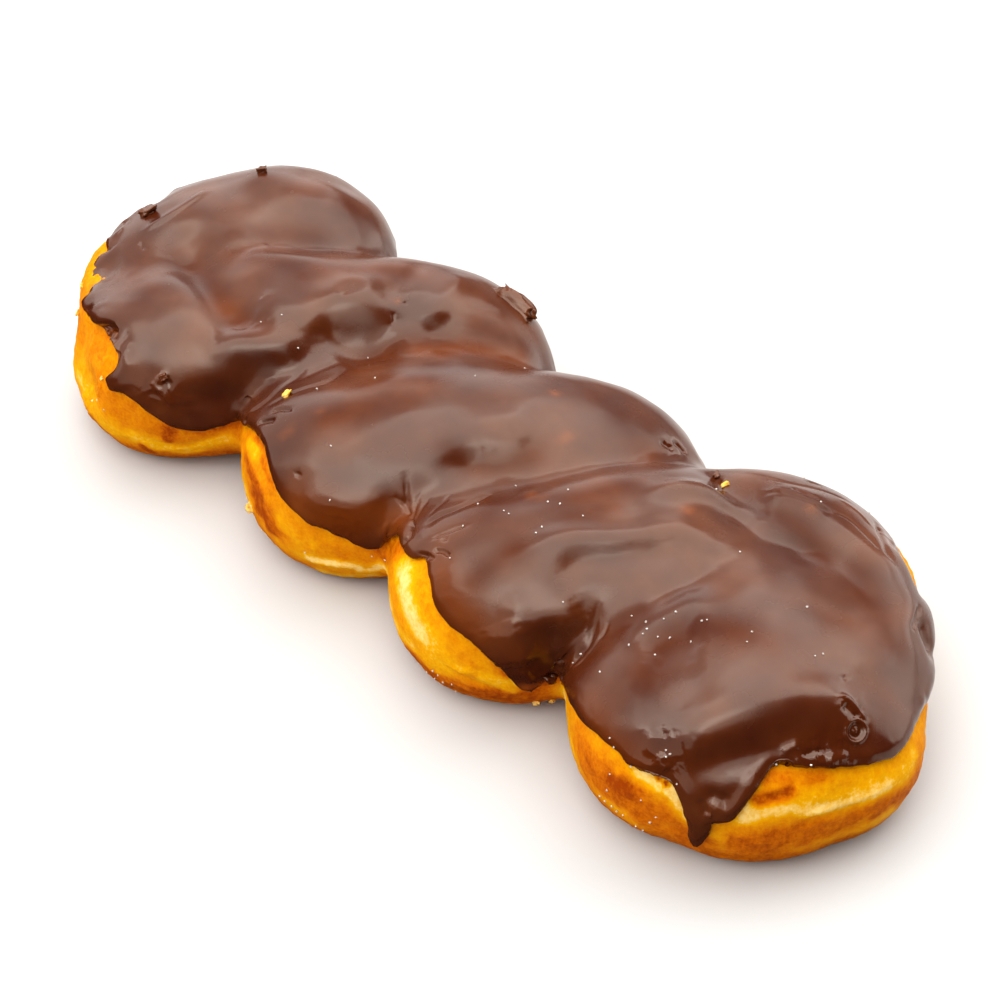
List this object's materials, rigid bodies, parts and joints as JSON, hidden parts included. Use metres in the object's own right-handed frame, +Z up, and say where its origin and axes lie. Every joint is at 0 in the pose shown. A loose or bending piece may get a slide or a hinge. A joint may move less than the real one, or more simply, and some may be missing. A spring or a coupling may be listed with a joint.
{
  "type": "chocolate iced doughnut twist",
  "caption": "Fried dough twist of wound ropes, rounded at both ends and flat underneath, with a chocolate icing coat that runs down its sides.",
  "frame": {"origin": "on the base, under the middle of the whole twist's box", "axes": "+X along the twist, from its broad end to its rounded end; +Z up from the base"},
  "size_m": [0.2264, 0.0908, 0.0415],
  "materials": {
    "fried_dough": "fried golden crust, dry and slightly rough",
    "chocolate_icing": "set chocolate icing, satin sheen"
  },
  "bodies": {
    "root": {"dough_twist": "fried_dough", "chocolate_icing": "chocolate_icing"}
  },
  "joints": []
}
